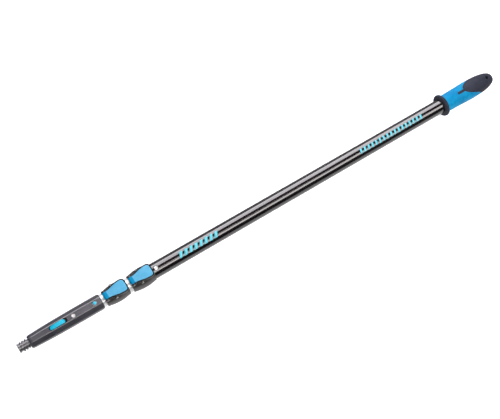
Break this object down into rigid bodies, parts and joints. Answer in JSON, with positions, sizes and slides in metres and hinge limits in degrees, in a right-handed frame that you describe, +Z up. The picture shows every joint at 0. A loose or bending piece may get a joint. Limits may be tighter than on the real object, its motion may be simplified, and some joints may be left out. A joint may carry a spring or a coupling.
{
  "type": "telescopic window cleaning pole",
  "caption": "Telescopic pole for window cleaning: nested tubes held by flip-lever clamps, a threaded tip with a tool latch and a snap button, and a soft grip with a hanging hole.",
  "frame": {"origin": "middle of the closed pole's length, below its axis, on the surface that it lies on", "axes": "+X along the pole towards the grip, +Z up towards the side with the levers, +Y sideways"},
  "size_m": [1.1079, 0.047, 0.0516],
  "materials": {
    "black_tube": "gloss",
    "bright_tube": "satin",
    "nylon": "satin",
    "brake_pad": "matt",
    "grip_blue": "matt",
    "grip_dark": "matt",
    "collar_black": "satin",
    "lever_black": "satin",
    "lever_blue": "satin",
    "steel": "satin",
    "spring_steel": "satin",
    "tip_grey": "satin",
    "button_blue": "gloss"
  },
  "bodies": {
    "outer_section": {"outer_tube": "black_tube", "grip_core": "nylon", "grip_sleeve": "grip_blue", "grip_cap": "grip_dark", "grip_guard": "grip_dark", "large_clamp_body": "collar_black", "large_lever_pin": "steel", "large_clamp_bolt": "steel", "large_clamp_nut": "steel"},
    "middle_section": {"middle_tube": "bright_tube", "middle_rear_bush": "nylon", "middle_stop_ring": "bright_tube", "small_clamp_body": "collar_black", "small_lever_pin": "steel", "small_clamp_bolt": "steel", "small_clamp_nut": "steel"},
    "inner_section": {"inner_tube": "bright_tube", "inner_rear_bush": "nylon", "inner_stop_ring": "bright_tube", "tip_body": "tip_grey", "latch_pin": "steel", "latch_spring": "spring_steel", "button_spring": "spring_steel"},
    "large_lever": {"large_clamp_lever": "lever_black", "large_lever_inlay": "lever_blue"},
    "small_lever": {"small_clamp_lever": "lever_black", "small_lever_inlay": "lever_blue"},
    "large_shoe": {"large_brake_shoe": "brake_pad"},
    "small_shoe": {"small_brake_shoe": "brake_pad"},
    "latch": {"tip_latch": "button_blue"},
    "button": {"snap_button": "button_blue"}
  },
  "joints": [
    {"name": "middle_slide", "type": "slide", "parent": "outer_section", "child": "middle_section", "axis": [-1, 0, 0], "range_m": [0, 0.646]},
    {"name": "inner_slide", "type": "slide", "parent": "middle_section", "child": "inner_section", "axis": [-1, 0, 0], "range_m": [0, 0.646]},
    {"name": "large_lever_flip", "type": "hinge", "parent": "outer_section", "child": "large_lever", "pos_m": [-0.326, 0, 0.0438], "axis": [0, -1, 0], "range_deg": [0, 110]},
    {"name": "large_shoe_lift", "type": "slide", "parent": "outer_section", "child": "large_shoe", "axis": [0, 0, 1], "range_m": [0, 0.0003]},
    {"name": "small_lever_flip", "type": "hinge", "parent": "middle_section", "child": "small_lever", "pos_m": [-0.3794, 0, 0.0425], "axis": [0, -1, 0], "range_deg": [0, 110]},
    {"name": "small_shoe_lift", "type": "slide", "parent": "middle_section", "child": "small_shoe", "axis": [0, 0, 1], "range_m": [0, 0.0003]},
    {"name": "latch_press", "type": "hinge", "parent": "inner_section", "child": "latch", "pos_m": [-0.4865, 0, 0.0297], "axis": [0, 1, 0], "range_deg": [0, 7.5], "stiffness_Nm_per_rad": 0.25, "springref_deg": -6.88, "deforming": ["latch_spring"]},
    {"name": "button_press", "type": "slide", "parent": "inner_section", "child": "button", "axis": [0, 0, -1], "range_m": [0, 0.0032], "stiffness_N_per_m": 2000, "springref_m": -0.002, "deforming": ["button_spring"]}
  ],
  "couplings": [
    {"joint": "large_shoe_lift", "follows": "large_lever_flip", "m_per_rad": 0.00015625},
    {"joint": "small_shoe_lift", "follows": "small_lever_flip", "m_per_rad": 0.00015625}
  ]
}
